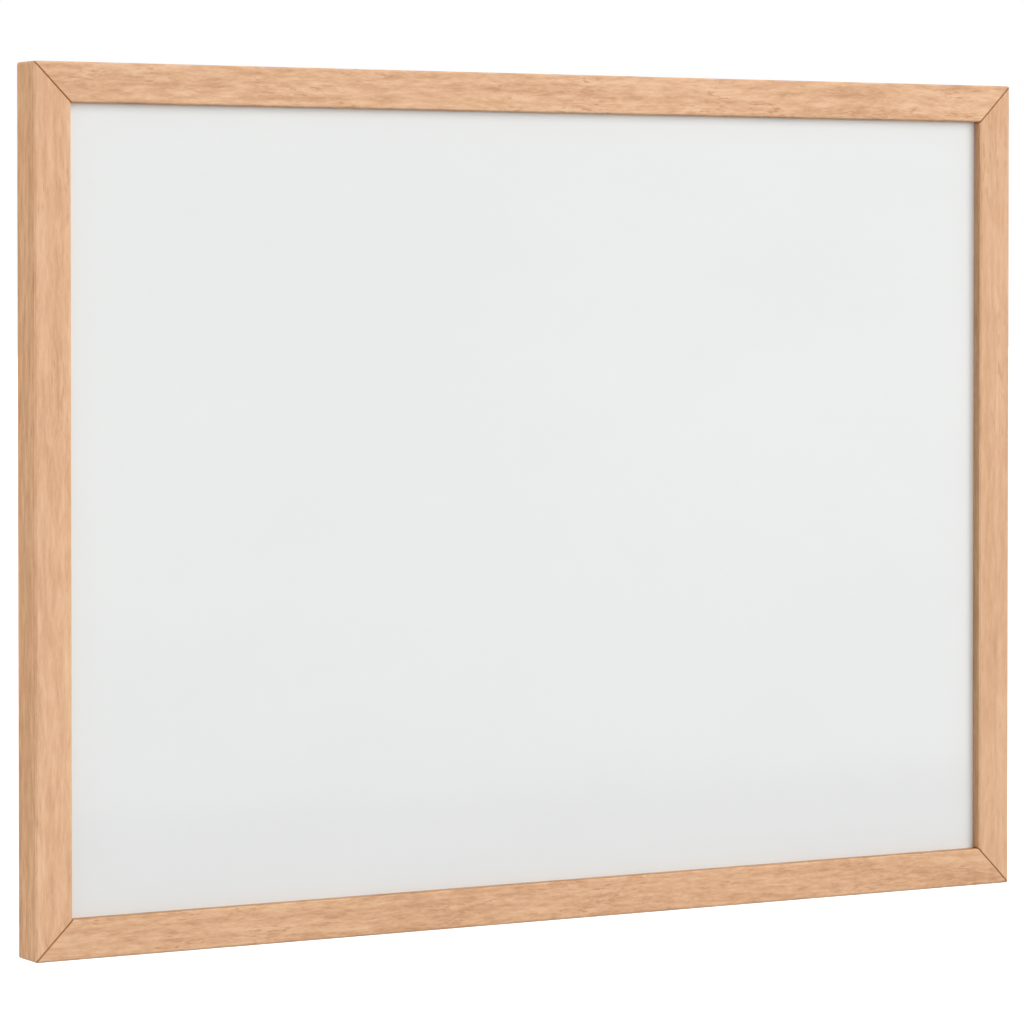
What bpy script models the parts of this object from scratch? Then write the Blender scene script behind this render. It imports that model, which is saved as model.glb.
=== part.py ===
# Magnetic whiteboard in a mitred wooden frame, modelled in metres with +Z up.
# The origin is the centre of the top rail's back face, where the board meets the wall.
# +X runs along the width, the front faces -Y.

import math

import bmesh
import bpy
from mathutils import Matrix, Vector

# Overall sizes
BOARD_WIDTH = 0.600
BOARD_HEIGHT = 0.450
FRAME_DEPTH = 0.0215
CLEARANCE = 0.0003

# Section of the frame
FACE_WIDTH = 0.0205
REBATE_WIDTH = 0.006
PANEL_RECESS = 0.006
OUTER_FRONT_RADIUS = 0.0012
INNER_FRONT_RADIUS = 0.0015
OUTER_BACK_RADIUS = 0.0015
CORNER_RADIUS = 0.0018
MITRE_EASE = 0.0003
ROUND_STEPS = 6

# Panel
PANEL_PLAY = 0.001
SHEET_THICKNESS = 0.0004
BACKING_THICKNESS = 0.005

# V-shaped corner nails
V_NAIL_LEG = 0.006
V_NAIL_THICKNESS = 0.0006
V_NAIL_HEIGHT = 0.010
V_NAIL_SINK = 0.0004
V_NAIL_POINT = 0.0012
V_NAIL_THINNING = 0.3
V_NAIL_INSETS = (0.0034, 0.0080)

# Tabs that hold the panel in the rebate
TAB_LENGTH = 0.014
TAB_WIDTH = 0.008
TAB_THICKNESS = 0.0006
TAB_EMBED = 0.007
TAB_POINT = 0.003
TAB_CORNER = 0.0015
RAIL_TAB_COUNT = 3
STILE_TAB_COUNT = 2
RAIL_TAB_SETBACK = 0.090
STILE_TAB_SETBACK = 0.140

# Keyhole hanger plates
HANGER_WIDTH = 0.010
HANGER_LENGTH = 0.040
HANGER_THICKNESS = 0.0012
HANGER_SINK = 0.0002
HANGER_DROP = 0.060
KEYHOLE_ENTRY_RADIUS = 0.0033
KEYHOLE_SLOT_RADIUS = 0.0018
KEYHOLE_ENTRY_OFFSET = -0.003
KEYHOLE_TRAVEL = 0.008
HEAD_POCKET_DEPTH = 0.005
HEAD_POCKET_RADIUS = 0.0038

# Screws of the hanger plates
SCREW_END_DISTANCE = 0.005
SCREW_LENGTH = 0.012
SCREW_SHANK_RADIUS = 0.0013
SCREW_HEAD_RADIUS = 0.0025
SCREW_HEAD_HEIGHT = 0.0014
SCREW_TIP_LENGTH = 0.0025
SCREW_SIDES = 32
CROSS_WIDTH = 0.0007
CROSS_SPAN = 0.0030
CROSS_DEPTH = 0.0009
CROSS_TAPER = 0.45

# Sizes that follow from the ones above
LAND_WIDTH = FACE_WIDTH - REBATE_WIDTH
LIP_THICKNESS = PANEL_RECESS - CLEARANCE
TOP_Z = LAND_WIDTH / 2
CENTRE_Z = TOP_Z - BOARD_HEIGHT / 2
BOTTOM_Z = TOP_Z - BOARD_HEIGHT
SHEET_FRONT_Y = -FRAME_DEPTH + PANEL_RECESS
BACKING_FRONT_Y = SHEET_FRONT_Y + SHEET_THICKNESS + CLEARANCE
BACKING_BACK_Y = BACKING_FRONT_Y + BACKING_THICKNESS
PANEL_INSET = LAND_WIDTH + PANEL_PLAY
PANEL_WIDTH = BOARD_WIDTH - 2 * PANEL_INSET
PANEL_HEIGHT = BOARD_HEIGHT - 2 * PANEL_INSET
HANGER_Z = TOP_Z - HANGER_DROP
SCREW_OFFSET = HANGER_LENGTH / 2 - SCREW_END_DISTANCE
CUT_MARGIN = 0.002
WELD = 0.00001


def make_material(name, colour, roughness, metallic):
    material = bpy.data.materials.new(name)
    material.use_nodes = True
    shader = material.node_tree.nodes["Principled BSDF"]
    shader.inputs["Base Color"].default_value = (*colour, 1.0)
    shader.inputs["Roughness"].default_value = roughness
    shader.inputs["Metallic"].default_value = metallic
    return material


def add_object(name, shape, parent, material=None):
    """Turn a bmesh into an object with its faces pointing out."""
    bmesh.ops.recalc_face_normals(shape, faces=shape.faces)
    mesh = bpy.data.meshes.new(name)
    shape.to_mesh(mesh)
    shape.free()
    item = bpy.data.objects.new(name, mesh)
    bpy.context.scene.collection.objects.link(item)
    item.parent = parent
    if material:
        mesh.materials.append(material)
    return item


def add_cutter(name, shape, parent):
    cutter = add_object(name, shape, parent)
    cutter.hide_render = True
    cutter.display_type = "WIRE"
    return cutter


def cut(item, cutter):
    boolean = item.modifiers.new(cutter.name, "BOOLEAN")
    boolean.operation = "DIFFERENCE"
    boolean.solver = "EXACT"
    boolean.object = cutter


def arc(centre, radius, start, end, steps):
    """Points of an arc in the plane, from one angle to another in degrees."""
    points = []
    for step in range(steps + 1):
        angle = math.radians(start + (end - start) * step / steps)
        points.append((centre[0] + radius * math.cos(angle), centre[1] + radius * math.sin(angle)))
    return points


def stadium(low, high, radius, steps=12):
    """Outline with round ends, upright, between two end centres on the line x = 0."""
    top = arc((0.0, high), radius, 0, 180, steps)
    bottom = arc((0.0, low), radius, 180, 360, steps)
    return top + bottom


def extrude_outline(shape, outline, front_y, back_y):
    """Add a closed prism of an outline in the XZ plane, between two depths."""
    ring = [shape.verts.new((x, front_y, z)) for x, z in outline]
    face = shape.faces.new(ring)
    moved = bmesh.ops.extrude_face_region(shape, geom=[face])
    far_side = [item for item in moved["geom"] if isinstance(item, bmesh.types.BMVert)]
    bmesh.ops.translate(shape, vec=(0.0, back_y - front_y, 0.0), verts=far_side)


def extend_end(shape, depth, advance):
    """Carry a prism's end face on along Y and return the new end's vertices."""
    end = [face for face in shape.faces if all(abs(vert.co.y - depth) < WELD for vert in face.verts)]
    moved = bmesh.ops.extrude_face_region(shape, geom=end)
    far_side = [item for item in moved["geom"] if isinstance(item, bmesh.types.BMVert)]
    bmesh.ops.delete(shape, geom=end, context="FACES_ONLY")
    bmesh.ops.translate(shape, vec=(0.0, advance, 0.0), verts=far_side)
    return far_side


def add_box(shape, low, high):
    size = [high[axis] - low[axis] for axis in range(3)]
    centre = [(high[axis] + low[axis]) / 2 for axis in range(3)]
    place = Matrix.Translation(centre) @ Matrix.Diagonal((*size, 1.0))
    bmesh.ops.create_cube(shape, size=1.0, matrix=place)


# Frame rails. Each one is drawn with its length along local X, its outer edge at z = 0
# and its inner edge at z = -FACE_WIDTH, and is then turned into its place in the frame.


def rail_section(inset):
    """L section as (distance from the outer edge, depth), drawn in by an inset all round."""
    outer = OUTER_BACK_RADIUS
    front_y = -FRAME_DEPTH
    points = arc((outer, -outer), outer - inset, 180, 90, ROUND_STEPS)
    points.append((LAND_WIDTH - inset, -inset))
    lip_back_y = front_y + LIP_THICKNESS - inset
    points.append((LAND_WIDTH - inset, lip_back_y))
    points.append((FACE_WIDTH - inset, lip_back_y))
    inner = INNER_FRONT_RADIUS
    points += arc((FACE_WIDTH - inner, front_y + inner), inner - inset, 0, -90, ROUND_STEPS)
    edge = OUTER_FRONT_RADIUS
    points += arc((edge, front_y + edge), edge - inset, -90, -180, ROUND_STEPS)
    return points


def rail_shape(length):
    """Mitred rail: the section is bridged from one eased mitre face to the other."""
    shape = bmesh.new()
    face_back = CLEARANCE / 2 * math.sqrt(2)
    ease_back = face_back + MITRE_EASE * math.sqrt(2)
    rings = []
    for side, inset, back in ((-1, MITRE_EASE, face_back), (-1, 0.0, ease_back),
                              (1, 0.0, ease_back), (1, MITRE_EASE, face_back)):
        ring = []
        for reach, depth in rail_section(inset):
            ring.append(shape.verts.new((side * (length / 2 - reach - back), depth, -reach)))
        rings.append(ring)
    count = len(rings[0])
    for near, far in zip(rings, rings[1:]):
        for index in range(count):
            following = (index + 1) % count
            shape.faces.new((near[index], near[following], far[following], far[index]))
    shape.faces.new(rings[0])
    shape.faces.new(rings[-1])
    return shape


def corner_waste(length):
    """What sanding takes off the sharp outer corners at both ends of a rail."""
    shape = bmesh.new()
    radius = CORNER_RADIUS
    middle = length / 2 - radius
    beyond = length / 2 + CUT_MARGIN
    outline = arc((middle, -radius), radius, 0, 90, ROUND_STEPS)
    outline += [(middle, CUT_MARGIN), (beyond, CUT_MARGIN), (beyond, -radius)]
    mirrored = [(-x, z) for x, z in reversed(outline)]
    for ring in (outline, mirrored):
        extrude_outline(shape, ring, -FRAME_DEPTH - CUT_MARGIN, CUT_MARGIN)
    return shape


def tab_positions(count, length, setback):
    """Even places along a rail, the outer ones a setback from its ends."""
    spread = length - 2 * setback
    return [spread * (step / (count - 1) - 0.5) for step in range(count)]


def v_nail_slots(length):
    """Slots that take one leg of each corner nail at both ends of a rail."""
    shape = bmesh.new()
    half = V_NAIL_THICKNESS / 2 + CLEARANCE
    floor_y = -V_NAIL_SINK - V_NAIL_HEIGHT - CLEARANCE
    for inset in V_NAIL_INSETS:
        inner_end = length / 2 - inset - V_NAIL_LEG - CLEARANCE
        outer_end = length / 2 - inset + V_NAIL_THICKNESS
        add_box(shape, (inner_end, floor_y, -inset - half), (outer_end, CUT_MARGIN, -inset + half))
        add_box(shape, (-outer_end, floor_y, -inset - half), (-inner_end, CUT_MARGIN, -inset + half))
    return shape


def tab_slots(positions):
    """Slots in the rebate wall that take the driven ends of the tabs."""
    shape = bmesh.new()
    half = TAB_WIDTH / 2 + CLEARANCE
    front_y = BACKING_BACK_Y
    back_y = BACKING_BACK_Y + TAB_THICKNESS + 2 * CLEARANCE
    deep_z = -(LAND_WIDTH - TAB_EMBED - CLEARANCE)
    open_z = -LAND_WIDTH - CUT_MARGIN
    for position in positions:
        add_box(shape, (position - half, front_y, open_z), (position + half, back_y, deep_z))
    return shape


def build_rail(name, length, place, material, root):
    rail = add_object(name, rail_shape(length), root, material)
    rail.matrix_local = place
    cutters = (("_corner_waste", corner_waste(length)), ("_nail_slots", v_nail_slots(length)))
    for ending, shape in cutters:
        cutter = add_cutter(name + ending, shape, root)
        cutter.matrix_local = place
        cut(rail, cutter)
    return rail


def shade_round(item, degrees=35):
    item.data.shade_smooth()
    item.data.set_sharp_from_angle(angle=math.radians(degrees))


# Corner nails and tabs


def v_nail_shape():
    """Bent strip with its corner towards the frame's outer corner and a thinned driven edge."""
    shape = bmesh.new()
    half = V_NAIL_THICKNESS / 2
    leg = V_NAIL_LEG
    outline = [(-half, half), (leg, half), (leg, -half), (half, -half), (half, -leg), (-half, -leg)]
    shoulder_y = -V_NAIL_SINK - V_NAIL_HEIGHT + V_NAIL_POINT
    extrude_outline(shape, outline, shoulder_y, -V_NAIL_SINK)
    for vert in extend_end(shape, shoulder_y, -V_NAIL_POINT):
        on_upper_leg = vert.co.x > -vert.co.z
        on_corner = abs(vert.co.x + vert.co.z) < half
        if on_upper_leg or on_corner:
            vert.co.z *= V_NAIL_THINNING
        if not on_upper_leg or on_corner:
            vert.co.x *= V_NAIL_THINNING
    return shape


def tab_shape():
    """Flat tab with a pointed driven end and a rounded free end, its driven end towards +Z."""
    shape = bmesh.new()
    half = TAB_WIDTH / 2
    wall = -LAND_WIDTH
    driven_z = wall + TAB_EMBED
    free_z = driven_z - TAB_LENGTH
    corner = TAB_CORNER
    outline = [(0.0, driven_z), (-half, driven_z - TAB_POINT)]
    outline += arc((-half + corner, free_z + corner), corner, 180, 270, ROUND_STEPS)
    outline += arc((half - corner, free_z + corner), corner, 270, 360, ROUND_STEPS)
    outline.append((half, driven_z - TAB_POINT))
    front_y = BACKING_BACK_Y + CLEARANCE
    extrude_outline(shape, outline, front_y, front_y + TAB_THICKNESS)
    return shape


# Hanger plates and their screws, drawn about the plate's centre with its back face at y = 0


def keyhole_outline():
    """Round entry with a narrower slot running up from it to a round end."""
    entry = KEYHOLE_ENTRY_RADIUS
    slot = KEYHOLE_SLOT_RADIUS
    low = KEYHOLE_ENTRY_OFFSET
    neck = math.degrees(math.acos(slot / entry))
    outline = arc((0.0, low + KEYHOLE_TRAVEL), slot, 0, 180, 12)
    outline += arc((0.0, low), entry, 180 - neck, 360 + neck, 28)
    return outline


def hanger_shape():
    shape = bmesh.new()
    radius = HANGER_WIDTH / 2
    reach = HANGER_LENGTH / 2 - radius
    extrude_outline(shape, stadium(-reach, reach, radius), -HANGER_THICKNESS, 0.0)
    return shape


def keyhole_cutter():
    shape = bmesh.new()
    extrude_outline(shape, keyhole_outline(), -HANGER_THICKNESS - CUT_MARGIN, CUT_MARGIN)
    return shape


def lathe(shape, profile, sides, place):
    """Turned solid from (radius, height) points that start and end on the axis."""
    rings = []
    for radius, height in profile:
        if radius == 0.0:
            rings.append([shape.verts.new(place @ Vector((0.0, height, 0.0)))])
            continue
        ring = []
        for side in range(sides):
            angle = 2 * math.pi * side / sides
            spot = Vector((radius * math.cos(angle), height, radius * math.sin(angle)))
            ring.append(shape.verts.new(place @ spot))
        rings.append(ring)
    for near, far in zip(rings, rings[1:]):
        for side in range(sides):
            following = (side + 1) % sides
            corners = [near[side % len(near)], near[following % len(near)],
                       far[following % len(far)], far[side % len(far)]]
            shape.faces.new(list(dict.fromkeys(corners)))


def screw_profile(grow):
    """Countersunk head, shank and point, grown by a clearance for the holes."""
    shank = SCREW_SHANK_RADIUS + grow
    head = SCREW_HEAD_RADIUS + grow
    tip_y = -SCREW_LENGTH - grow
    return [(0.0, 0.0), (head, 0.0), (head, -grow), (shank, -SCREW_HEAD_HEIGHT - grow),
            (shank, tip_y + SCREW_TIP_LENGTH), (0.0, tip_y)]


def screw_shape():
    shape = bmesh.new()
    profile = screw_profile(0.0)
    del profile[2]
    lathe(shape, profile, SCREW_SIDES, Matrix.Identity(4))
    return shape


def screw_hole(places):
    """Countersunk holes for the screws, opened past the plate's back face."""
    shape = bmesh.new()
    for place in places:
        profile = screw_profile(CLEARANCE)
        profile[0] = (0.0, CUT_MARGIN)
        profile[1] = (profile[1][0], CUT_MARGIN)
        lathe(shape, profile, SCREW_SIDES, place)
    return shape


def cross_recess():
    """Cross of two tapered blades that is sunk into a screw's head."""
    shape = bmesh.new()
    arm = CROSS_SPAN / 2
    half = CROSS_WIDTH / 2
    outline = []
    for quarter in range(4):
        turn = Matrix.Rotation(math.radians(90 * quarter), 2)
        for corner in ((arm, -half), (arm, half), (half, half)):
            spot = turn @ Vector(corner)
            outline.append((spot.x, spot.y))
    extrude_outline(shape, outline, 0.0, CUT_MARGIN)
    for vert in extend_end(shape, 0.0, -CROSS_DEPTH):
        vert.co.x *= CROSS_TAPER
        vert.co.z *= CROSS_TAPER
    return shape


def clear_scene():
    for item in list(bpy.data.objects):
        bpy.data.objects.remove(item)


def build_frame(root, wood):
    """Four rails, returned by side, each with the matrix that places it."""
    half_width = BOARD_WIDTH / 2
    sides = {
        "top": ("top_rail", BOARD_WIDTH, (0.0, 0.0, TOP_Z), 0),
        "bottom": ("bottom_rail", BOARD_WIDTH, (0.0, 0.0, BOTTOM_Z), 180),
        "left": ("left_stile", BOARD_HEIGHT, (-half_width, 0.0, CENTRE_Z), -90),
        "right": ("right_stile", BOARD_HEIGHT, (half_width, 0.0, CENTRE_Z), 90),
    }
    rails = {}
    for side, (name, length, spot, turn) in sides.items():
        place = Matrix.Translation(spot) @ Matrix.Rotation(math.radians(turn), 4, "Y")
        rails[side] = (build_rail(name, length, place, wood, root), place)
    return rails


def build_panel(root, enamel, fibreboard):
    layers = (
        ("writing_sheet", SHEET_FRONT_Y, SHEET_THICKNESS, enamel),
        ("backing_board", BACKING_FRONT_Y, BACKING_THICKNESS, fibreboard),
    )
    for name, front_y, thickness, material in layers:
        shape = bmesh.new()
        half = Vector((PANEL_WIDTH / 2, 0.0, PANEL_HEIGHT / 2))
        add_box(shape, (-half.x, front_y, -half.z), (half.x, front_y + thickness, half.z))
        panel = add_object(name, shape, root, material)
        panel.location = (0.0, 0.0, CENTRE_Z)


def build_v_nails(root, steel):
    corners = (("top_left", -1, 1, 0), ("top_right", 1, 1, 90),
               ("bottom_right", 1, -1, 180), ("bottom_left", -1, -1, 270))
    source = add_object("v_nail_source", v_nail_shape(), root, steel)
    for corner, side_x, side_z, turn in corners:
        for index, inset in enumerate(V_NAIL_INSETS, start=1):
            nail = source.copy()
            nail.name = f"v_nail_{corner}_{index}"
            bpy.context.scene.collection.objects.link(nail)
            nail.location = (side_x * (BOARD_WIDTH / 2 - inset), 0.0,
                             CENTRE_Z + side_z * (BOARD_HEIGHT / 2 - inset))
            nail.rotation_euler = (0.0, math.radians(turn), 0.0)
    bpy.data.objects.remove(source)


def build_tabs(root, rails, steel):
    """Tabs in the rebate wall of each rail, with the slots they are driven into."""
    shared = add_object("tab_source", tab_shape(), root, steel)
    for side, (rail, place) in rails.items():
        if side in ("top", "bottom"):
            positions = tab_positions(RAIL_TAB_COUNT, BOARD_WIDTH, RAIL_TAB_SETBACK)
        else:
            positions = tab_positions(STILE_TAB_COUNT, BOARD_HEIGHT, STILE_TAB_SETBACK)
        slots = add_cutter(rail.name + "_tab_slots", tab_slots(positions), root)
        slots.matrix_local = place
        cut(rail, slots)
        for index, position in enumerate(positions, start=1):
            tab = shared.copy()
            tab.name = f"tab_{side}_{index}"
            bpy.context.scene.collection.objects.link(tab)
            tab.matrix_local = place @ Matrix.Translation((position, 0.0, 0.0))
    bpy.data.objects.remove(shared)


def build_hangers(root, rails, zinc, steel):
    """Keyhole plates let into the stiles, each with two screws and a pocket for a wall screw's head."""
    screw_spots = (("upper", SCREW_OFFSET), ("lower", -SCREW_OFFSET))
    for side, sign in (("left", -1), ("right", 1)):
        spot = Vector((sign * (BOARD_WIDTH / 2 - LAND_WIDTH / 2), -HANGER_SINK, HANGER_Z))
        plate = add_object(f"hanger_{side}", hanger_shape(), root, zinc)
        plate.location = spot
        keyhole = add_cutter(f"hanger_{side}_keyhole", keyhole_cutter(), root)
        keyhole.location = spot
        cut(plate, keyhole)

        holes = add_cutter(f"hanger_{side}_screw_holes", screw_hole(
            [Matrix.Translation((0.0, 0.0, offset)) for name, offset in screw_spots]), root)
        holes.location = spot
        cut(plate, holes)

        recess = bmesh.new()
        radius = HANGER_WIDTH / 2 + CLEARANCE
        reach = HANGER_LENGTH / 2 - HANGER_WIDTH / 2
        floor_y = -HANGER_THICKNESS - CLEARANCE
        extrude_outline(recess, stadium(-reach, reach, radius), floor_y, CUT_MARGIN)
        recess = add_cutter(f"hanger_{side}_recess", recess, root)
        pocket = bmesh.new()
        low = KEYHOLE_ENTRY_OFFSET
        outline = stadium(low, low + KEYHOLE_TRAVEL, HEAD_POCKET_RADIUS)
        extrude_outline(pocket, outline, floor_y - HEAD_POCKET_DEPTH, CUT_MARGIN)
        pocket = add_cutter(f"hanger_{side}_head_pocket", pocket, root)
        stile = rails[side][0]
        for cutter in (recess, pocket):
            cutter.location = spot
            cut(stile, cutter)
        cut(stile, holes)

        for name, offset in screw_spots:
            screw = add_object(f"screw_{side}_{name}", screw_shape(), root, steel)
            screw.location = spot + Vector((0.0, 0.0, offset))
            cross = add_cutter(f"screw_{side}_{name}_cross", cross_recess(), root)
            cross.location = screw.location
            cut(screw, cross)
            shade_round(screw)


def main():
    clear_scene()
    wood = make_material("oiled_pine", (0.73, 0.46, 0.28), 0.5, 0.0)
    enamel = make_material("white_lacquer", (0.83, 0.84, 0.83), 0.25, 0.0)
    fibreboard = make_material("fibreboard", (0.36, 0.24, 0.15), 0.85, 0.0)
    bright_steel = make_material("bright_steel", (0.55, 0.55, 0.54), 0.35, 1.0)
    zinc = make_material("zinc_plate", (0.60, 0.61, 0.62), 0.35, 1.0)

    root = bpy.data.objects.new("whiteboard", None)
    bpy.context.scene.collection.objects.link(root)
    rails = build_frame(root, wood)
    build_panel(root, enamel, fibreboard)
    build_v_nails(root, bright_steel)
    build_tabs(root, rails, bright_steel)
    build_hangers(root, rails, zinc, bright_steel)
    for rail, place in rails.values():
        shade_round(rail)


main()
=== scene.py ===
# Magnetic whiteboard in a mitred wooden frame: fine shapes, finishes, light and camera.
import math

import bmesh
import bpy
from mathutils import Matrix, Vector


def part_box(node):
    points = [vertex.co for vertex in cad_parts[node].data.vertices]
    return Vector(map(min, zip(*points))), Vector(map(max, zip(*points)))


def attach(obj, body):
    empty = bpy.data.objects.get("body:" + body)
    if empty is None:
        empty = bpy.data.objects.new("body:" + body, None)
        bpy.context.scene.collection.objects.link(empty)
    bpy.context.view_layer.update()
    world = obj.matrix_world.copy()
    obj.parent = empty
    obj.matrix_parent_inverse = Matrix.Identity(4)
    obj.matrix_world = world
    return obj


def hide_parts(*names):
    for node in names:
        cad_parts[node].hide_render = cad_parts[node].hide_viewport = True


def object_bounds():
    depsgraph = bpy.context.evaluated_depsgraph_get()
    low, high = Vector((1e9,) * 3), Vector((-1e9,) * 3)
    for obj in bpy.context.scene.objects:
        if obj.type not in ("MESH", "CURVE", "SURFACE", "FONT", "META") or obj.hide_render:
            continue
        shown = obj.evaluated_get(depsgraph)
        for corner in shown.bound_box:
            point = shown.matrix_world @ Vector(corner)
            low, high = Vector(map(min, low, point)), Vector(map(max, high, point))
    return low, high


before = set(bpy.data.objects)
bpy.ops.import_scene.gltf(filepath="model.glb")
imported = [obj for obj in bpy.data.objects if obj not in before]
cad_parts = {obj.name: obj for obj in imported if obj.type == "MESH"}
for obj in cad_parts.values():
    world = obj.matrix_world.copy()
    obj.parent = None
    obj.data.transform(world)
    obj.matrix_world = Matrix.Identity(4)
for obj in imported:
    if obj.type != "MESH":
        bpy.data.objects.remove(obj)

cadLow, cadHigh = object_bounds()
boardLow, boardHigh = Vector(cadLow), Vector(cadHigh)
boardCentre = (boardLow + boardHigh) / 2
boardSize = boardHigh - boardLow


# Modelling with operators, with the selection always set first

picking = {
    "along": 0.999,    # least share of an edge's length on the axis it runs along
    "near": 0.0002,    # how far an edge may lie from the line it is picked by
    "square": 0.9,     # least share of a normal on the axis it faces
    "mitre": 0.6,      # least share of a mitre's normal on each of its two axes
}
shading = {
    "railAngle": 25,      # edges turning by more degrees stay sharp
    "hardwareAngle": 30,
    "flatWeight": 80,     # how far large faces keep their own normals
}


def dropSelection():
    if bpy.context.object and bpy.context.object.mode != "OBJECT":
        bpy.ops.object.mode_set(mode="OBJECT")
    bpy.ops.object.select_all(action="DESELECT")


def pickObject(piece):
    dropSelection()
    piece.select_set(True)
    bpy.context.view_layer.objects.active = piece


def addBlock(name, low, high):
    dropSelection()
    low, high = Vector(low), Vector(high)
    bpy.ops.mesh.primitive_cube_add(size=1, location=(low + high) / 2, scale=high - low)
    block = bpy.context.object
    block.name = name
    bpy.ops.object.transform_apply(location=True, rotation=True, scale=True)
    return block


def pickInEdit(kind, wanted):
    # kind is EDGE or FACE, and wanted tests one of them
    bpy.ops.mesh.select_mode(type=kind)
    bpy.ops.mesh.select_all(action="DESELECT")
    mesh = bmesh.from_edit_mesh(bpy.context.object.data)
    for element in {"EDGE": mesh.edges, "FACE": mesh.faces}[kind]:
        if wanted(element):
            element.select_set(True)
    bmesh.update_edit_mesh(bpy.context.object.data)


def edgeMiddle(edge):
    return (edge.verts[0].co + edge.verts[1].co) / 2


def runsAlong(edge, axis):
    way = edge.verts[1].co - edge.verts[0].co
    return abs(way[axis]) > picking["along"] * way.length


def applyModifier(piece, kind, **settings):
    pickObject(piece)
    modifier = piece.modifiers.new(kind.title(), kind)
    for key, value in settings.items():
        setattr(modifier, key, value)
    bpy.ops.object.modifier_apply(modifier=modifier.name)


def cutAway(piece, cutter):
    applyModifier(piece, "BOOLEAN", operation="DIFFERENCE", solver="EXACT", object=cutter)
    bpy.data.objects.remove(cutter)


def mergeSlivers(piece, reach):
    # the cuts leave a few edges and faces a micron wide
    pickObject(piece)
    bpy.ops.object.mode_set(mode="EDIT")
    bpy.ops.mesh.select_all(action="SELECT")
    bpy.ops.mesh.remove_doubles(threshold=reach)
    bpy.ops.mesh.dissolve_degenerate(threshold=reach)
    bpy.ops.object.mode_set(mode="OBJECT")


def smoothByAngle(piece, degrees):
    pickObject(piece)
    bpy.ops.object.shade_smooth_by_angle(angle=math.radians(degrees))
    applyModifier(piece, "WEIGHTED_NORMAL", keep_sharp=True, weight=shading["flatWeight"])


def setMaterials(piece, *materials):
    piece.data.materials.clear()
    for material in materials:
        piece.data.materials.append(material)


# Shader nodes

def newNode(tree, kind, place, **settings):
    node = tree.nodes.new(kind)
    node.location = place
    for key, value in settings.items():
        setattr(node, key, value)
    return node


def fill(tree, socket, value):
    if isinstance(value, bpy.types.NodeSocket):
        tree.links.new(value, socket)
    elif isinstance(value, tuple) and socket.type == "RGBA":
        socket.default_value = (*value, 1.0)
    else:
        socket.default_value = value


def mathNode(tree, operation, place, *values):
    node = newNode(tree, "ShaderNodeMath", place, operation=operation)
    for socket, value in zip(node.inputs, values):
        fill(tree, socket, value)
    return node.outputs[0]


def vectorNode(tree, operation, place, *values):
    node = newNode(tree, "ShaderNodeVectorMath", place, operation=operation)
    for socket, value in zip(node.inputs, values):
        fill(tree, socket, value)
    return node.outputs[0]


def noiseNode(tree, vector, perMetre, detail, roughness, place):
    # perMetre is how many features a metre holds along each axis
    scaled = vectorNode(tree, "MULTIPLY", (place[0] - 180, place[1]), vector, perMetre)
    node = newNode(tree, "ShaderNodeTexNoise", place)
    fill(tree, node.inputs["Vector"], scaled)
    fill(tree, node.inputs["Scale"], 1.0)
    fill(tree, node.inputs["Detail"], detail)
    fill(tree, node.inputs["Roughness"], roughness)
    return node


def rangeNode(tree, place, value, low, high, newLow, newHigh, curve="LINEAR"):
    node = newNode(tree, "ShaderNodeMapRange", place, clamp=True, interpolation_type=curve)
    for socket, entry in zip(node.inputs[0:5], (value, low, high, newLow, newHigh)):
        fill(tree, socket, entry)
    return node.outputs[0]


def mixColour(tree, place, factor, first, second, blend="MIX"):
    node = newNode(tree, "ShaderNodeMix", place, data_type="RGBA", blend_type=blend, clamp_result=True)
    for socket, value in ((node.inputs[0], factor), (node.inputs[6], first), (node.inputs[7], second)):
        fill(tree, socket, value)
    return node.outputs[2]


def newGroup(name, inputs, outputs):
    group = bpy.data.node_groups.new(name, "ShaderNodeTree")
    kinds = {"vector": "NodeSocketVector", "colour": "NodeSocketColor", "value": "NodeSocketFloat"}
    for socket, kind in inputs.items():
        group.interface.new_socket(name=socket, in_out="INPUT", socket_type=kinds[kind])
    for socket, kind in outputs.items():
        group.interface.new_socket(name=socket, in_out="OUTPUT", socket_type=kinds[kind])
    start = newNode(group, "NodeGroupInput", (-1700, 0))
    end = newNode(group, "NodeGroupOutput", (1100, 0))
    return group, start.outputs, end.inputs


def placeGroup(tree, group, place, values):
    node = newNode(tree, "ShaderNodeGroup", place, node_tree=group)
    for name, value in values.items():
        fill(tree, node.inputs[name], value)
    return node.outputs


def newMaterial(name, values):
    material = bpy.data.materials.new(name)
    material.use_nodes = True
    shader = material.node_tree.nodes["Principled BSDF"]
    shader.location = (700, 0)
    material.node_tree.nodes["Material Output"].location = (1000, 0)
    for socket, value in values.items():
        shader.inputs[socket].default_value = value
    return material, material.node_tree, shader.inputs


def objectPlace(tree, turn=(0.0, 0.0, 0.0), offset=(0.0, 0.0, 0.0), scale=(1.0, 1.0, 1.0)):
    # places on the piece in metres, scaled, turned and moved for the pattern
    coordinates = newNode(tree, "ShaderNodeTexCoord", (-900, 0))
    mapping = newNode(tree, "ShaderNodeMapping", (-700, 0))
    mapping.inputs["Scale"].default_value = scale
    mapping.inputs["Rotation"].default_value = [math.radians(angle) for angle in turn]
    mapping.inputs["Location"].default_value = offset
    tree.links.new(coordinates.outputs["Object"], mapping.inputs["Vector"])
    return mapping.outputs[0]


def bumpNode(tree, place, height, distance):
    bump = newNode(tree, "ShaderNodeBump", place)
    fill(tree, bump.inputs["Strength"], 1.0)
    fill(tree, bump.inputs["Distance"], distance)
    fill(tree, bump.inputs["Height"], height)
    return bump


# Wood

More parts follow.
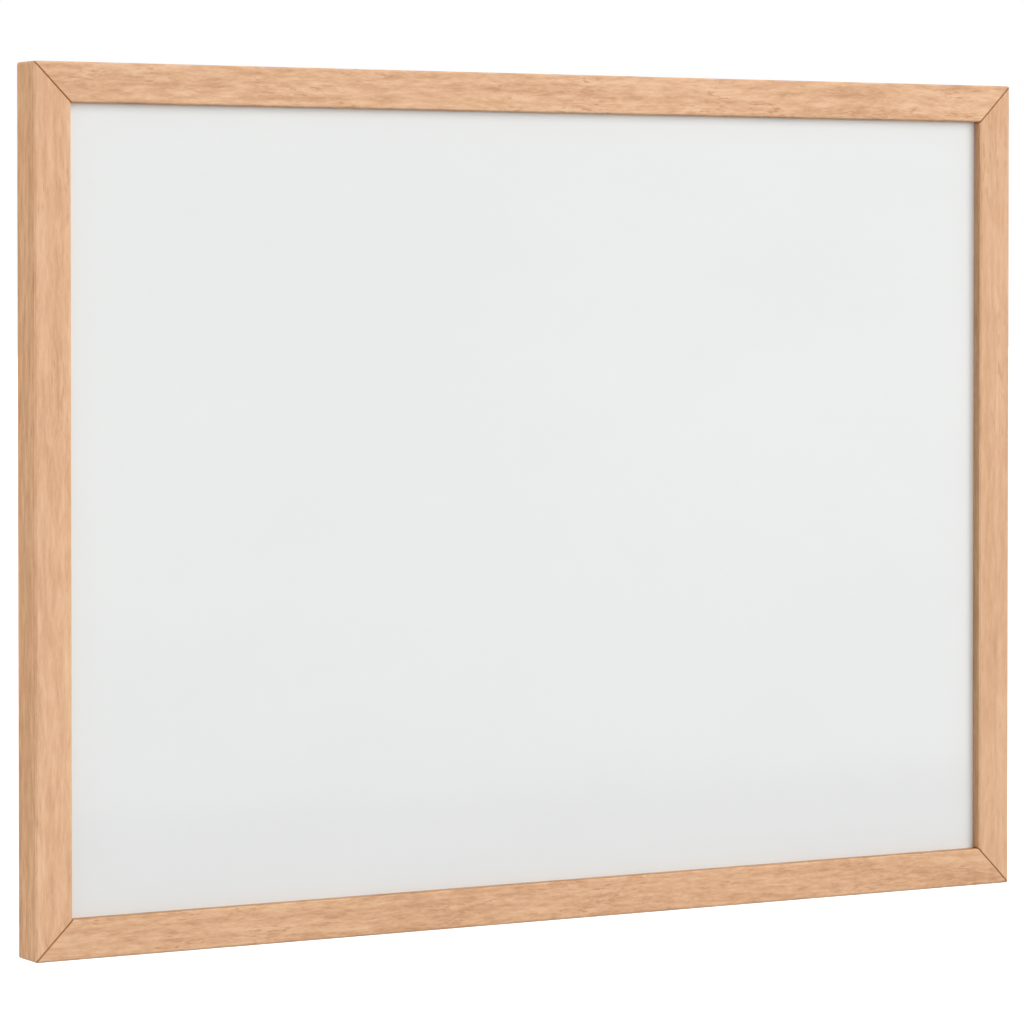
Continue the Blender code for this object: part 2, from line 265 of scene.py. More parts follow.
woodLook = {
    "Light": (0.848, 0.558, 0.354),
    "Body": (0.755, 0.456, 0.276),
    "Dark": (0.603, 0.334, 0.191),
    "Figure": 1.0,
    "Flecks": 0.8,
    # how strongly the rounded edges get their painted highlight and shade
    "ArrisLightAndShade": 1.4,
}
endGrainLook = {
    "Light": (0.605, 0.322, 0.152),
    "Body": (0.508, 0.260, 0.115),
    "Dark": (0.385, 0.190, 0.083),
    "Figure": 1.0,
    "Flecks": 0.5,
    "ArrisLightAndShade": 0.0,
}
# each rail is sawn from another stretch of timber, and the long ones have a livelier, finer figure
timber = {
    "top": {"tone": (1.0, 1.0, 1.0), "figure": 1.22, "turn": (0, 0, 0),
            "fineness": (1.5, 1.0, 1.0), "offset": (0.31, 0.02, 0.11)},
    "bottom": {"tone": (0.945, 0.925, 0.900), "figure": 1.20, "turn": (0, 0, 0),
               "fineness": (1.9, 1.25, 1.25), "offset": (1.73, 0.51, 0.87)},
    "left": {"tone": (1.015, 1.015, 1.010), "figure": 0.80, "turn": (0, 90, 0),
             "fineness": (1.0, 1.0, 1.15), "offset": (2.61, 0.33, 0.45)},
    "right": {"tone": (0.965, 0.970, 0.965), "figure": 0.70, "turn": (0, 90, 0),
              "fineness": (1.0, 1.0, 1.15), "offset": (3.97, 0.74, 0.19)},
}
woodFinish = {
    "satin": {"IOR": 1.45, "Specular IOR Level": 0.08},
    "roughness": (0.47, 0.60),             # plain wood, and its flecks
    "relief": 0.00003,
    "sideShadeTint": (0.925, 0.865, 0.765),     # painted shade: the sides are tinted darker and warmer than front and back, for how they are lit
    "millFigure": 1.5,                     # and stronger in figure
    "sideSeen": (0.25, 0.95),              # depth's share of the normal where a side is full, and ends
    "arrisLowest": -0.5,                   # holds back the painted shade on the edges that look down
}
# a noise has its features in a metre along and across the grain, its detail and its roughness
grainNoise = {
    "rings": ((6, 190, 190), 2, 0.5),
    "streaks": ((48, 400, 400), 4, 0.66),
    "fibres": ((160, 1500, 1500), 2, 0.6),
    "dashes": ((95, 820, 820), 2, 0.55),
    "patches": ((16, 55, 55), 2, 0.5),
}
# the fibres wander sideways by a noise like these, and its reach
grainWander = {
    "gentle": (((8, 18, 18), 1, 0.5), 0.006),
    "wavy": (((45, 90, 90), 1, 0.5), 0.0012),
}
grainMix = {
    "ringShare": 0.30,
    "streakShare": 0.52,
    "fibreShare": 0.18,
    "lightest": 0.13,
    "darkest": -0.16,
    "dashSeen": (0.54, 0.66),
    "patchSeen": (0.48, 0.64),
    "patchLeast": 0.05,
}


def makeFacing():
    # Side is one on the faces that look sideways, up or down, nought on the front and the back.
    # On the rounded edges the second output paints light and shade: above nought, a painted highlight,
    # where they look up or sideways, and below it, painted shade, where they look down.
    group, given, out = newGroup("facing", {"Normal": "vector"}, {"Side": "value", "ArrisLightAndShade": "value"})
    parts = newNode(group, "ShaderNodeSeparateXYZ", (-900, 0))
    fill(group, parts.inputs[0], given["Normal"])
    depthwise = mathNode(group, "ABSOLUTE", (-700, 0), parts.outputs["Y"])
    side = rangeNode(group, (-500, 0), depthwise, *woodFinish["sideSeen"], 1.0, 0.0, "SMOOTHSTEP")
    fill(group, out["Side"], side)
    flat = mathNode(group, "SUBTRACT", (-300, -200), 1.0, side)
    band = mathNode(group, "MULTIPLY", (-100, -200), side, flat)
    sideways = mathNode(group, "ABSOLUTE", (-700, -400), parts.outputs["X"])
    lit = mathNode(group, "ADD", (-500, -400), sideways, parts.outputs["Z"])
    lit = mathNode(group, "MAXIMUM", (-300, -400), lit, woodFinish["arrisLowest"])
    fill(group, out["ArrisLightAndShade"], mathNode(group, "MULTIPLY", (100, -300), band, lit))
    return group


def makeWoodGrain():
    # the grain runs along X, with places in metres
    group, given, out = newGroup(
        "woodGrain",
        {"Vector": "vector", "Light": "colour", "Body": "colour", "Dark": "colour",
         "Figure": "value", "Flecks": "value"},
        {"Color": "colour", "Roughness": "value", "Height": "value"})
    place = given["Vector"]

    def wander(vector, noise, reach, row):
        # shifts the fibres sideways, up to about a third of the reach
        shift = noiseNode(group, vector, *noise, (-1300, row)).outputs["Color"]
        centred = vectorNode(group, "SUBTRACT", (-1120, row), shift, (0.5, 0.5, 0.5))
        sideways = vectorNode(group, "MULTIPLY", (-960, row), centred, (0.0, reach, reach))
        return vectorNode(group, "ADD", (-800, row), vector, sideways)

    gentle = wander(place, *grainWander["gentle"], 500)
    wavy = wander(gentle, *grainWander["wavy"], 200)

    rings = noiseNode(group, wavy, *grainNoise["rings"], (-400, 700)).outputs[0]
    streaks = noiseNode(group, wavy, *grainNoise["streaks"], (-400, 450)).outputs[0]
    fibres = noiseNode(group, wavy, *grainNoise["fibres"], (-400, 200)).outputs[0]
    dashes = noiseNode(group, gentle, *grainNoise["dashes"], (-400, -100)).outputs[0]
    patches = noiseNode(group, place, *grainNoise["patches"], (-400, -400)).outputs[0]

    tone = mathNode(group, "MULTIPLY", (-180, 700), rings, grainMix["ringShare"])
    tone = mathNode(group, "MULTIPLY_ADD", (-20, 600), streaks, grainMix["streakShare"], tone)
    tone = mathNode(group, "MULTIPLY_ADD", (140, 500), fibres, grainMix["fibreShare"], tone)
    # the sum lies near a half, and the figure spreads it round the middle
    spread = mathNode(group, "SUBTRACT", (300, 500), tone, 0.5)
    spread = mathNode(group, "MULTIPLY", (460, 500), spread, given["Figure"])
    lighter = rangeNode(group, (620, 600), spread, 0.0, grainMix["lightest"], 0.0, 1.0)
    darker = rangeNode(group, (620, 400), spread, grainMix["darkest"], 0.0, 1.0, 0.0)

    dash = rangeNode(group, (-180, -100), dashes, *grainMix["dashSeen"], 0.0, 1.0, "SMOOTHSTEP")
    patch = rangeNode(group, (-180, -400), patches, *grainMix["patchSeen"],
                      grainMix["patchLeast"], 1.0, "SMOOTHSTEP")
    fleck = mathNode(group, "MULTIPLY", (0, -200), dash, patch)
    fleck = mathNode(group, "MULTIPLY", (160, -200), fleck, given["Flecks"])

    colour = mixColour(group, (780, 600), lighter, given["Body"], given["Light"])
    colour = mixColour(group, (780, 400), darker, colour, given["Dark"])
    fill(group, out["Color"], mixColour(group, (940, 400), fleck, colour, given["Dark"]))
    roughness = rangeNode(group, (780, 0), fleck, 0.0, 1.0, *woodFinish["roughness"])
    fill(group, out["Roughness"], roughness)
    fill(group, out["Height"], mathNode(group, "SUBTRACT", (780, -200), fibres, fleck))
    return group


def makeWood(name, grain, facing, look, board):
    material, tree, shader = newMaterial(name, woodFinish["satin"])
    normal = newNode(tree, "ShaderNodeTexCoord", (-900, 300)).outputs["Normal"]
    faces = placeGroup(tree, facing, (-700, 300), {"Normal": normal})
    side = faces["Side"]
    values = {"Vector": objectPlace(tree, board["turn"], board["offset"], board["fineness"])}
    for key in ("Light", "Body", "Dark"):
        values[key] = tuple(channel * tone for channel, tone in zip(look[key], board["tone"]))
    figure = look["Figure"] * board["figure"]
    values["Figure"] = rangeNode(tree, (-500, 300), side, 0.0, 1.0,
                                 figure, figure * woodFinish["millFigure"])
    values["Flecks"] = look["Flecks"] * board["figure"]
    made = placeGroup(tree, grain, (-300, 0), values)
    # painted shade: the faces that look sideways, up or down are tinted darker and warmer
    shadedSides = mixColour(tree, (100, 200), side, made["Color"], woodFinish["sideShadeTint"], "MULTIPLY")
    # painted highlight on the rounded edges that look up or sideways, painted shade on those that look
    # down
    paintedArrisLight = mathNode(tree, "MULTIPLY_ADD", (100, 500), faces["ArrisLightAndShade"], look["ArrisLightAndShade"], 1.0)
    fill(tree, shader["Base Color"], mixColour(tree, (300, 200), 1.0, shadedSides, paintedArrisLight, "MULTIPLY"))
    fill(tree, shader["Roughness"], made["Roughness"])
    relief = bumpNode(tree, (300, -300), made["Height"], woodFinish["relief"])
    fill(tree, shader["Normal"], relief.outputs[0])
    return material


# Lacquered steel sheet

lacquerLook = {
    "colour": (0.795, 0.811, 0.803),
    "haze": (0.785, 0.801, 0.793),
    "hazeNoise": ((5, 5, 9), 3, 0.55),
    "hazeSeen": (0.40, 0.65),
    "wearNoise": ((30, 30, 30), 2, 0.5),
    "wearSeen": (0.2, 0.8),
    "roughness": (0.29, 0.31),
    "rippleNoise": ((9, 9, 9), 1, 0.5),
    "rippleHeight": 0.00012,
    "peelNoise": ((900, 900, 900), 1, 0.5),
    "peelHeight": 0.000002,
}
clearCoat = {"IOR": 1.45, "Coat Weight": 1.0, "Coat Roughness": 0.07, "Coat IOR": 1.5}


def makeLacquer():
    material, tree, shader = newMaterial("whiteLacquer", clearCoat)
    place = objectPlace(tree)
    haze = noiseNode(tree, place, *lacquerLook["hazeNoise"], (-300, 300)).outputs[0]
    wiped = rangeNode(tree, (-100, 300), haze, *lacquerLook["hazeSeen"], 0.0, 1.0, "SMOOTHSTEP")
    fill(tree, shader["Base Color"],
         mixColour(tree, (100, 300), wiped, lacquerLook["colour"], lacquerLook["haze"]))
    wear = noiseNode(tree, place, *lacquerLook["wearNoise"], (-300, 0)).outputs[0]
    fill(tree, shader["Roughness"],
         rangeNode(tree, (100, 0), wear, *lacquerLook["wearSeen"], *lacquerLook["roughness"]))
    ripples = noiseNode(tree, place, *lacquerLook["rippleNoise"], (-300, -300)).outputs[0]
    peel = noiseNode(tree, place, *lacquerLook["peelNoise"], (-300, -600)).outputs[0]
    wide = bumpNode(tree, (100, -300), ripples, lacquerLook["rippleHeight"])
    fine = bumpNode(tree, (300, -300), peel, lacquerLook["peelHeight"])
    fill(tree, fine.inputs["Normal"], wide.outputs[0])
    fill(tree, shader["Normal"], fine.outputs[0])
    return material


# Bare fibreboard

fibreLook = {
    "body": (0.300, 0.188, 0.105),
    "pale": (0.410, 0.275, 0.165),
    "dark": (0.170, 0.100, 0.055),
    "cloudNoise": ((14, 14, 14), 3, 0.6),
    "cloudSeen": (0.4, 0.7),
    "cloudMost": 0.20,
    "strandNoise": ((500, 1500, 900), 3, 0.7),
    "strandSeen": (0.45, 0.75),
    "strandMost": 0.8,
    "chipsPerMetre": (420, 900, 650),
    "chipReach": 0.35,
    "chipMost": 0.45,
    "wearSeen": (0.3, 0.7),
    "roughness": (0.78, 0.92),
    "relief": 0.00010,
}


def makeFibreboard():
    look = fibreLook
    material, tree, shader = newMaterial("bareFibreboard", {"IOR": 1.4})
    place = objectPlace(tree)
    clouds = noiseNode(tree, place, *look["cloudNoise"], (-300, 500)).outputs[0]
    strands = noiseNode(tree, place, *look["strandNoise"], (-300, 200)).outputs[0]
    chips = newNode(tree, "ShaderNodeTexVoronoi", (-300, -100))
    scaled = vectorNode(tree, "MULTIPLY", (-480, -100), place, look["chipsPerMetre"])
    fill(tree, chips.inputs["Vector"], scaled)
    fill(tree, chips.inputs["Scale"], 1.0)
    paleShare = rangeNode(tree, (0, 300), strands, *look["strandSeen"], 0.0, look["strandMost"])
    darkShare = rangeNode(tree, (0, -100), chips.outputs["Distance"],
                          0.0, look["chipReach"], look["chipMost"], 0.0)
    cloudShare = rangeNode(tree, (0, 500), clouds, *look["cloudSeen"], 0.0, look["cloudMost"])
    colour = mixColour(tree, (200, 400), paleShare, look["body"], look["pale"])
    colour = mixColour(tree, (350, 300), darkShare, colour, look["dark"])
    colour = mixColour(tree, (500, 300), cloudShare, colour, look["dark"])
    fill(tree, shader["Base Color"], colour)
    fill(tree, shader["Roughness"],
         rangeNode(tree, (200, 0), strands, *look["wearSeen"], *look["roughness"]))
    fill(tree, shader["Normal"], bumpNode(tree, (300, -300), strands, look["relief"]).outputs[0])
    return material


# Metals

metalLooks = {
    "nailSteel": {"light": (0.56, 0.55, 0.53), "dark": (0.34, 0.32, 0.30), "rough": 0.36},
    "tabSteel": {"light": (0.50, 0.50, 0.49), "dark": (0.33, 0.32, 0.31), "rough": 0.38},
    "zincPlate": {"light": (0.66, 0.67, 0.68), "dark": (0.47, 0.48, 0.50), "rough": 0.33},
    "screwSteel": {"light": (0.70, 0.69, 0.64), "dark": (0.45, 0.43, 0.38), "rough": 0.30},
}
# the wear that all the metals share
metalWear = {
    "spangleNoise": ((260, 260, 260), 2, 0.6),
    "spangleSeen": (0.35, 0.65),
    "spangleMost": 0.5,
    "drawnNoise": ((300, 4000, 4000), 2, 0.5),
    "drawnRough": 0.06,
    "grimeNoise": ((130, 130, 130), 3, 0.6),
    "grimeSeen": (0.45, 0.70),
    "grimeMost": 0.8,
    "grimeRough": 0.18,
    "relief": 0.00001,
}


def makeScratchedMetal():
    group, given, out = newGroup(
        "scratchedMetal",
        {"Vector": "vector", "Light": "colour", "Dark": "colour", "Rough": "value"},
        {"Color": "colour", "Roughness": "value", "Height": "value"})
    place, wear = given["Vector"], metalWear
    spangle = noiseNode(group, place, *wear["spangleNoise"], (-600, 300)).outputs[0]
    drawn = noiseNode(group, place, *wear["drawnNoise"], (-600, 0)).outputs[0]
    grime = noiseNode(group, place, *wear["grimeNoise"], (-600, -300)).outputs[0]
    dull = rangeNode(group, (-300, -300), grime, *wear["grimeSeen"],
                     0.0, wear["grimeMost"], "SMOOTHSTEP")
    sheen = rangeNode(group, (-300, 300), spangle, *wear["spangleSeen"], 0.0, wear["spangleMost"])
    worn = mathNode(group, "MAXIMUM", (-100, 0), dull, sheen)
    fill(group, out["Color"], mixColour(group, (300, 200), worn, given["Light"], given["Dark"]))
    rough = mathNode(group, "MULTIPLY_ADD", (100, -100), dull, wear["grimeRough"], given["Rough"])
    rough = mathNode(group, "MULTIPLY_ADD", (300, -100), drawn, wear["drawnRough"], rough)
    fill(group, out["Roughness"], rough)
    fill(group, out["Height"], drawn)
    return group


def makeMetal(name, group):
    look = metalLooks[name]
    material, tree, shader = newMaterial(name, {"Metallic": 1.0})
    values = {"Light": look["light"], "Dark": look["dark"], "Rough": look["rough"]}
    made = placeGroup(tree, group, (-300, 0), {"Vector": objectPlace(tree), **values})
    fill(tree, shader["Base Color"], made["Color"])
    fill(tree, shader["Roughness"], made["Roughness"])
    relief = bumpNode(tree, (300, -300), made["Height"], metalWear["relief"])
    fill(tree, shader["Normal"], relief.outputs[0])
    return material


# Frame rails. Each is shaped with its length along X and its outer edge on z = 0, then turned
# into place.

railCut = {
    "rebateWidth": 0.006,
    "lipThickness": 0.0057,
    "outerFrontRound": 0.0017,
    "innerFrontRound": 0.0015,
    "outerBackRound": 0.0015,
    "roundSegments": 10,
    "jointHalfGap": 0.00002,
    "jointEase": 0.00052,
    "easeSegments": 2,
    "cornerRound": 0.0018,
    "cornerSides": 64,
    "nailThickness": 0.0006,
    "nailSlack": 0.00008,
    "tabSlack": 0.00008,
    "plateSlack": 0.00015,
    "headPocketDepth": 0.005,
    "headPocketRadius": 0.0038,
    "pocketSegments": 14,
    "pocketRoundness": 0.999,    # just short of full, so that the two rounds of an end don't meet
    "keyholeLow": -0.003,
    "keyholeTravel": 0.008,
    "screwHoleRadius": 0.0014,
    "screwHoleDeeper": 0.0002,
    "screwHoleSides": 24,
    "past": 0.002,               # how far a cutter stands out of the wood
    "sliver": 0.000003,
}


def shapeRail(name, length, width, depth, materials):
    rebate, lip = railCut["rebateWidth"], railCut["lipThickness"]
    rail = addBlock(name, (-length / 2, -depth, rebate - width), (length / 2, 0, 0))
    setMaterials(rail, *materials)
    bpy.ops.object.mode_set(mode="EDIT")
    bpy.ops.mesh.select_all(action="SELECT")
    bpy.ops.mesh.bisect(plane_co=(0, lip - depth, 0), plane_no=(0, 1, 0))
    # the strip of the inner side that lies in front becomes the lip
    pickInEdit("FACE", lambda face: face.normal.z < -picking["square"]
               and face.calc_center_median().y < lip - depth)
    bpy.ops.mesh.extrude_region_move(TRANSFORM_OT_translate={"value": (0, 0, -rebate)})
    gap = railCut["jointHalfGap"] * math.sqrt(2)
    for side in (-1, 1):
        bpy.ops.mesh.select_all(action="SELECT")
        bpy.ops.mesh.bisect(plane_co=(side * (length / 2 - gap), 0, 0), plane_no=(side, 0, -1),
                            use_fill=True, clear_outer=True)
    arrises = (
        (-depth, 0, railCut["outerFrontRound"]),
        (-depth, -width, railCut["innerFrontRound"]),
        (0, 0, railCut["outerBackRound"]),
    )
    near = picking["near"]
    for atY, atZ, radius in arrises:
        pickInEdit("EDGE", lambda edge: runsAlong(edge, 0)
                   and abs(edgeMiddle(edge).y - atY) < near and abs(edgeMiddle(edge).z - atZ) < near)
        bpy.ops.mesh.bevel(offset=radius, offset_type="OFFSET", segments=railCut["roundSegments"],
                           profile=0.5, clamp_overlap=False)

    def isMitre(face):
        return min(abs(face.normal.x), abs(face.normal.z)) > picking["mitre"]

    # the cut ends are eased, and the ease and the end grain take the second material
    pickInEdit("EDGE", lambda edge: any(isMitre(face) for face in edge.link_faces))
    bpy.ops.mesh.bevel(offset=railCut["jointEase"], offset_type="OFFSET",
                       segments=railCut["easeSegments"], profile=0.5, clamp_overlap=False, material=1)
    bpy.ops.object.mode_set(mode="OBJECT")
    for face in rail.data.polygons:
        if isMitre(face):
            face.material_index = 1
    return rail


def turnIntoPlace(piece, spot, degrees):
    pickObject(piece)
    piece.rotation_euler = (0, math.radians(degrees), 0)
    piece.location = spot
    bpy.ops.object.transform_apply(location=True, rotation=True, scale=True)


def roundCorners(rail):
    # takes the sharp upright tips off the outer corners, as sanding does after gluing
    radius, past = railCut["cornerRound"], railCut["past"]
    for cornerX, inX in ((boardLow.x, 1), (boardHigh.x, -1)):
        for cornerZ, inZ in ((boardLow.z, 1), (boardHigh.z, -1)):
            xs = sorted((cornerX - inX * past, cornerX + inX * radius))
            zs = sorted((cornerZ - inZ * past, cornerZ + inZ * radius))
            low, high = (xs[0], boardLow.y - past, zs[0]), (xs[1], boardHigh.y + past, zs[1])
            sanding = addBlock("sanding", low, high)
            dropSelection()
            bpy.ops.mesh.primitive_cylinder_add(
                vertices=railCut["cornerSides"], radius=radius, depth=boardSize.y + 4 * past,
                rotation=(math.radians(90), 0, 0),
                location=(cornerX + inX * radius, boardCentre.y, cornerZ + inZ * radius))
            corner = bpy.context.object
            bpy.ops.object.transform_apply(location=True, rotation=True, scale=True)
            cutAway(sanding, corner)
            cutAway(rail, sanding)


def cutNailSlots(rail, nodes):
    # a slot for each leg of the corner nails that cross this rail's mitres
    slack = railCut["nailSlack"]
    grow = Vector((slack, slack, slack))
    wide = railCut["nailThickness"] + 2 * slack
    for node in nodes:
        low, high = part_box(node)
        low, high = Vector(low) - grow, Vector(high) + grow
        high.y = railCut["past"]
        centre = (low + high) / 2
        level, upright = (low.copy(), high.copy()), (low.copy(), high.copy())
        if centre.z > boardCentre.z:
            level[0].z = high.z - wide
        else:
            level[1].z = low.z + wide
        if centre.x > boardCentre.x:
            upright[0].x = high.x - wide
        else:
            upright[1].x = low.x + wide
        for corners in (level, upright):
            cutAway(rail, addBlock("slot", *corners))


def cutTabSlots(rail, nodes):
    slack = railCut["tabSlack"]
    grow = Vector((slack, slack, slack))
    for node in nodes:
        low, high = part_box(node)
        cutAway(rail, addBlock("slot", Vector(low) - grow, Vector(high) + grow))


def addRoundEndedBlock(name, low, high, radius):
    # upright block whose ends are rounded in the XZ plane
    block = addBlock(name, low, high)
    bpy.ops.object.mode_set(mode="EDIT")
    pickInEdit("EDGE", lambda edge: runsAlong(edge, 1))
    bpy.ops.mesh.bevel(offset=radius * railCut["pocketRoundness"], segments=railCut["pocketSegments"],
                       profile=0.5, clamp_overlap=False)
    bpy.ops.object.mode_set(mode="OBJECT")
    return block


def cutHangerPockets(stile, plate):
    low, high = [Vector(corner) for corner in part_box(plate)]
    middle = (low + high) / 2
    slack = railCut["plateSlack"]
    half = (high.x - low.x) / 2 + slack
    floor = low.y - slack
    recess = addRoundEndedBlock(
        "recess", (low.x - slack, floor, low.z - slack),
        (high.x + slack, railCut["past"], high.z + slack), half)
    cutAway(stile, recess)
    radius = railCut["headPocketRadius"]
    bottom = middle.z + railCut["keyholeLow"]
    pocket = addRoundEndedBlock(
        "pocket", (middle.x - radius, floor - railCut["headPocketDepth"], bottom - radius),
        (middle.x + radius, railCut["past"], bottom + railCut["keyholeTravel"] + radius), radius)
    cutAway(stile, pocket)


def cutScrewHoles(stile, nodes):
    for node in nodes:
        low, high = [Vector(corner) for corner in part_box(node)]
        middle = (low + high) / 2
        dropSelection()
        bpy.ops.mesh.primitive_cylinder_add(
            vertices=railCut["screwHoleSides"], radius=railCut["screwHoleRadius"], depth=high.y - low.y,
            rotation=(math.radians(90), 0, 0),
            location=(middle.x, middle.y - railCut["screwHoleDeeper"], middle.z))
        hole = bpy.context.object
        bpy.ops.object.transform_apply(location=True, rotation=True, scale=True)
        cutAway(stile, hole)


def buildRails(woods, endGrains):
    top = [Vector(corner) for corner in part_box("top_rail")]
    width = top[1].z - top[0].z
    spots = {
        "top": ("top_rail", boardSize.x, (boardCentre.x, 0, boardHigh.z), 0),
        "bottom": ("bottom_rail", boardSize.x, (boardCentre.x, 0, boardLow.z), 180),
        "left": ("left_stile", boardSize.z, (boardLow.x, 0, boardCentre.z), -90),
        "right": ("right_stile", boardSize.z, (boardHigh.x, 0, boardCentre.z), 90),
    }
    for side, (node, length, spot, turn) in spots.items():
        rail = shapeRail(node + "_wood", length, width, boardSize.y, (woods[side], endGrains[side]))
        turnIntoPlace(rail, spot, turn)
        roundCorners(rail)
        cutNailSlots(rail, [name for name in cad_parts
                            if name.startswith("v_nail_") and side in name])
        cutTabSlots(rail, [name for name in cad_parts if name.startswith("tab_" + side)])
        if side in ("left", "right"):
            cutHangerPockets(rail, "hanger_" + side)
            cutScrewHoles(rail, [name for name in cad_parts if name.startswith("screw_" + side)])
        mergeSlivers(rail, railCut["sliver"])
        smoothByAngle(rail, shading["railAngle"])
        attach(rail, "root")
        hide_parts(node)
        print("rail:", rail.name, len(rail.data.polygons), "faces")


# Hardware, refined from the frame's own nodes

edgeWork = {
    "v_nail_": {"bevel": 0.00006, "slot": "nail_steel", "metal": "nailSteel"},
    "tab_": {"bevel": 0.00008, "slot": "tab_steel", "metal": "tabSteel"},
    "hanger_": {"bevel": 0.00015, "slot": "zinc_plate", "metal": "zincPlate"},
    "screw_": {"bevel": 0.00006, "slot": "screw_steel", "metal": "screwSteel"},
}
refining = {
    "merge": 0.000002,
    "flatUnder": 0.5,      # degrees between triangles that become one face
    "bevelOver": 32,       # degrees between faces whose edge is bevelled
    "bevelSegments": 2,
}


def refineCopy(node, bevel):
    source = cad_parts[node]
    piece = bpy.data.objects.new(node + "_fine", source.data.copy())
    bpy.context.scene.collection.objects.link(piece)
    piece.matrix_world = source.matrix_world.copy()
    pickObject(piece)
    bpy.ops.object.transform_apply(location=True, rotation=True, scale=True)
    bpy.ops.object.mode_set(mode="EDIT")
    bpy.ops.mesh.select_all(action="SELECT")
    bpy.ops.mesh.remove_doubles(threshold=refining["merge"])
    bpy.ops.mesh.dissolve_limited(angle_limit=math.radians(refining["flatUnder"]))
    bpy.ops.object.mode_set(mode="OBJECT")
    applyModifier(piece, "BEVEL", width=bevel, segments=refining["bevelSegments"],
                  limit_method="ANGLE", angle_limit=math.radians(refining["bevelOver"]),
                  use_clamp_overlap=True, harden_normals=False)
    smoothByAngle(piece, shading["hardwareAngle"])
    return piece


def buildHardware(metals):
    for prefix, work in edgeWork.items():
        for node in [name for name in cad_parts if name.startswith(prefix)]:
            piece = refineCopy(node, work["bevel"])
            setMaterials(piece, metals[work["metal"]])
            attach(piece, "root")
            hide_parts(node)
        print("hardware:", prefix)


# Studio: floor, white surroundings, lamps and camera

studio = {
    "floorDrop": 0.26,
    "floorSize": 60.0,
    "floorColour": (0.55, 0.55, 0.55),
    "floorNoise": ((60, 60, 60), 2, 0.5),
    "floorSeen": (0.3, 0.7),
    "floorMottle": 0.985,
    "floorGlow": 0.75,
    "ambient": 0.40,
    "background": 1.0,
}
# each far lamp shines from so many degrees to the right of the front and so many above the level
lamps = {
    "keyLamp": {"right": 22, "above": 15, "spread": 60, "strength": 2.04},
    "fillLamp": {"right": -50, "above": 8, "spread": 60, "strength": 0.32},
    "rimLamp": {"right": -143, "above": 22, "spread": 50, "strength": 1.78},
}
# a weak softbox near the right end, which makes that side of the sheet a little lighter
softbox = {"place": (0.50, -1.00, 0.10), "size": 0.6, "power": 1.0}
# a grey card on the floor that only reflections show, so that the sheet darkens towards its lower edge
card = {
    "low": (-8.0, -2.5),
    "high": (8.0, -0.3),
    "lift": 0.002,
    "grey": (0.45, 0.38, 0.41),
    "noise": ((40, 40, 40), 2, 0.5),
    "mottle": 0.96,
}
view = {
    "place": (-1.22190, -2.07456, -0.10118),
    "yaw": 30.240,
    "pitch": 1.145,
    "lens": 158.240,
    "sensor": 36.0,
    "shiftY": -0.14,
    "near": 0.1,
    "far": 100.0,
}


def seenDirectly(tree, place):
    # one where the camera, a gloss or a clear material looks, nought for diffuse light
    path = newNode(tree, "ShaderNodeLightPath", place).outputs
    glossy = mathNode(tree, "MAXIMUM", (place[0] + 200, place[1]),
                      path["Is Camera Ray"], path["Is Glossy Ray"])
    return mathNode(tree, "MAXIMUM", (place[0] + 400, place[1]), glossy, path["Is Transmission Ray"])


def buildFloor():
    dropSelection()
    level = boardLow.z - studio["floorDrop"]
    bpy.ops.mesh.primitive_plane_add(size=studio["floorSize"], location=(0, 0, level))
    floor = bpy.context.object
    floor.name = "studioFloor"
    material, tree, shader = newMaterial("studioFloor", {"Roughness": 0.9})
    paper = noiseNode(tree, objectPlace(tree), *studio["floorNoise"], (-300, 200)).outputs[0]
    mottle = rangeNode(tree, (100, 200), paper, *studio["floorSeen"], 0.0, 1.0)
    pale = studio["floorColour"]
    darker = tuple(channel * studio["floorMottle"] for channel in pale)
    fill(tree, shader["Base Color"], mixColour(tree, (300, 200), mottle, pale, darker))
    fill(tree, shader["Emission Color"], (1.0, 1.0, 1.0))
    direct = seenDirectly(tree, (-100, -300))
    fill(tree, shader["Emission Strength"],
         mathNode(tree, "MULTIPLY", (500, -300), direct, studio["floorGlow"]))
    setMaterials(floor, material)


def buildWorld():
    world = bpy.data.worlds.new("studioWhite")
    world.use_nodes = True
    bpy.context.scene.world = world
    tree = world.node_tree
    background = tree.nodes["Background"]
    fill(tree, background.inputs["Color"], (1.0, 1.0, 1.0))
    strength = rangeNode(tree, (-200, 0), seenDirectly(tree, (-900, 0)), 0.0, 1.0,
                         studio["ambient"], studio["background"])
    fill(tree, background.inputs["Strength"], strength)


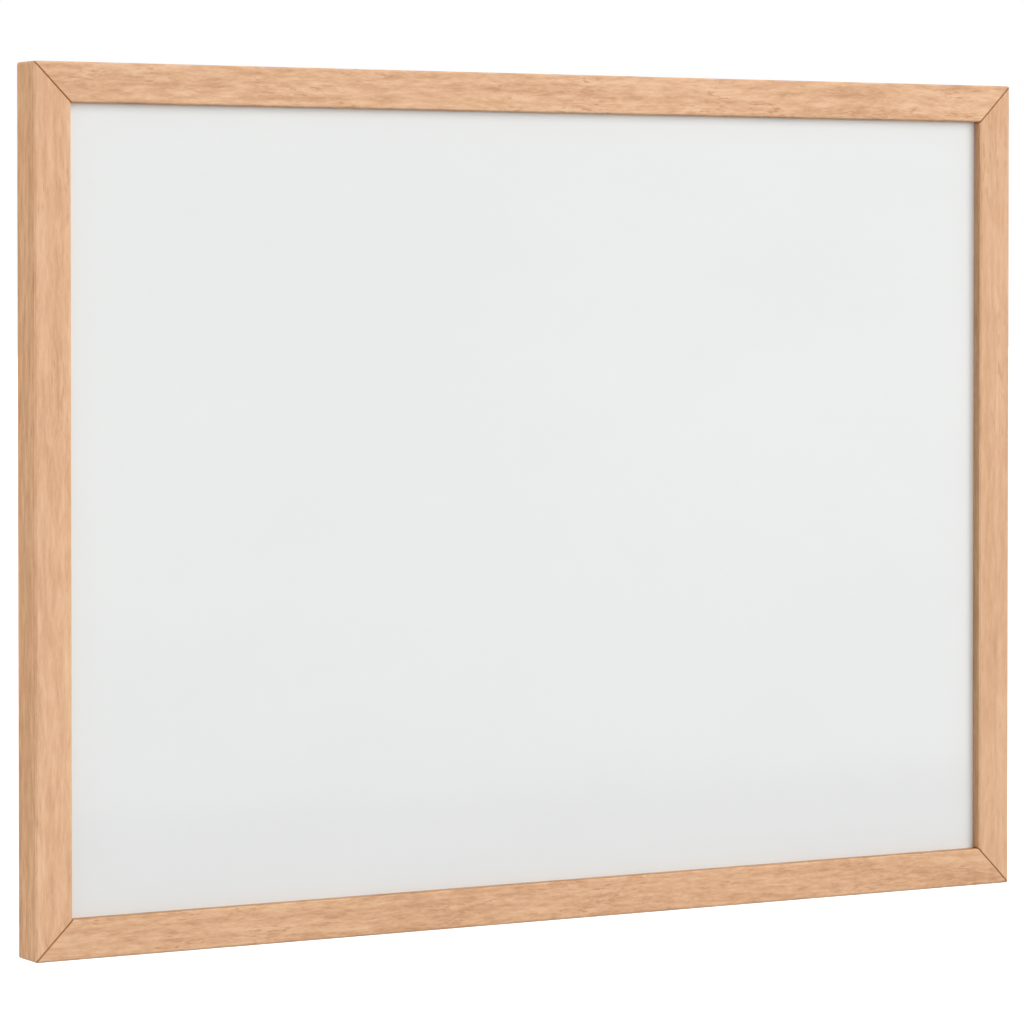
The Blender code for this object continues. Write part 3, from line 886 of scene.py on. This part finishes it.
def buildCard():
    level = boardLow.z - studio["floorDrop"] + card["lift"]
    low, high = card["low"], card["high"]
    middle = ((low[0] + high[0]) / 2, (low[1] + high[1]) / 2, level)
    dropSelection()
    bpy.ops.mesh.primitive_plane_add(size=1, location=middle)
    sheet = bpy.context.object
    sheet.name = "greyCard"
    sheet.scale = (high[0] - low[0], high[1] - low[1], 1)
    bpy.ops.object.transform_apply(location=True, rotation=True, scale=True)
    material, tree, shader = newMaterial("greyCard", {"Roughness": 1.0, "Specular IOR Level": 0.0})
    mottle = noiseNode(tree, objectPlace(tree), *card["noise"], (-300, 0)).outputs[0]
    grey = card["grey"]
    darker = tuple(channel * card["mottle"] for channel in grey)
    fill(tree, shader["Base Color"], mixColour(tree, (100, 0), mottle, grey, darker))
    setMaterials(sheet, material)
    sheet.visible_camera = False
    sheet.visible_diffuse = False
    sheet.visible_shadow = False
    sheet.visible_transmission = False


def placeLamp(data, source):
    # the lamp shines from its source towards the middle of the board, and only its light shows
    light = bpy.data.objects.new(data.name, data)
    bpy.context.scene.collection.objects.link(light)
    light.location = source
    light.rotation_euler = (boardCentre - source).to_track_quat("-Z", "Y").to_euler()
    light.visible_camera = False
    light.visible_glossy = False


def buildLamps():
    for name, lamp in lamps.items():
        right, above = math.radians(lamp["right"]), math.radians(lamp["above"])
        data = bpy.data.lights.new(name, "SUN")
        data.angle = math.radians(lamp["spread"])
        data.energy = lamp["strength"]
        level = math.cos(above)
        way = Vector((math.sin(right) * level, -math.cos(right) * level, math.sin(above)))
        placeLamp(data, boardCentre + way)
    data = bpy.data.lights.new("softbox", "AREA")
    data.size = softbox["size"]
    data.energy = softbox["power"]
    placeLamp(data, Vector(softbox["place"]))


def buildCamera():
    data = bpy.data.cameras.new("photoCamera")
    data.sensor_width = view["sensor"]
    data.lens = view["lens"]
    data.shift_y = view["shiftY"]
    data.clip_start, data.clip_end = view["near"], view["far"]
    camera = bpy.data.objects.new("photoCamera", data)
    bpy.context.scene.collection.objects.link(camera)
    camera.location = view["place"]
    camera.rotation_euler = (math.radians(90 - view["pitch"]), 0, math.radians(-view["yaw"]))
    bpy.context.scene.camera = camera


# Making

buildCamera()
buildWorld()
buildFloor()
buildCard()
buildLamps()
bpy.context.scene.view_settings.view_transform = "Standard"
print("studio made")

grain, facing = makeWoodGrain(), makeFacing()
woods, endGrains = {}, {}
for side, board in timber.items():
    woods[side] = makeWood(side + "Wood", grain, facing, woodLook, board)
    endGrains[side] = makeWood(side + "EndGrain", grain, facing, endGrainLook, board)
buildRails(woods, endGrains)

setMaterials(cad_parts["writing_sheet"], makeLacquer())
setMaterials(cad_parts["backing_board"], makeFibreboard())
print("panel finished")

scratched = makeScratchedMetal()
buildHardware({name: makeMetal(name, scratched) for name in metalLooks})
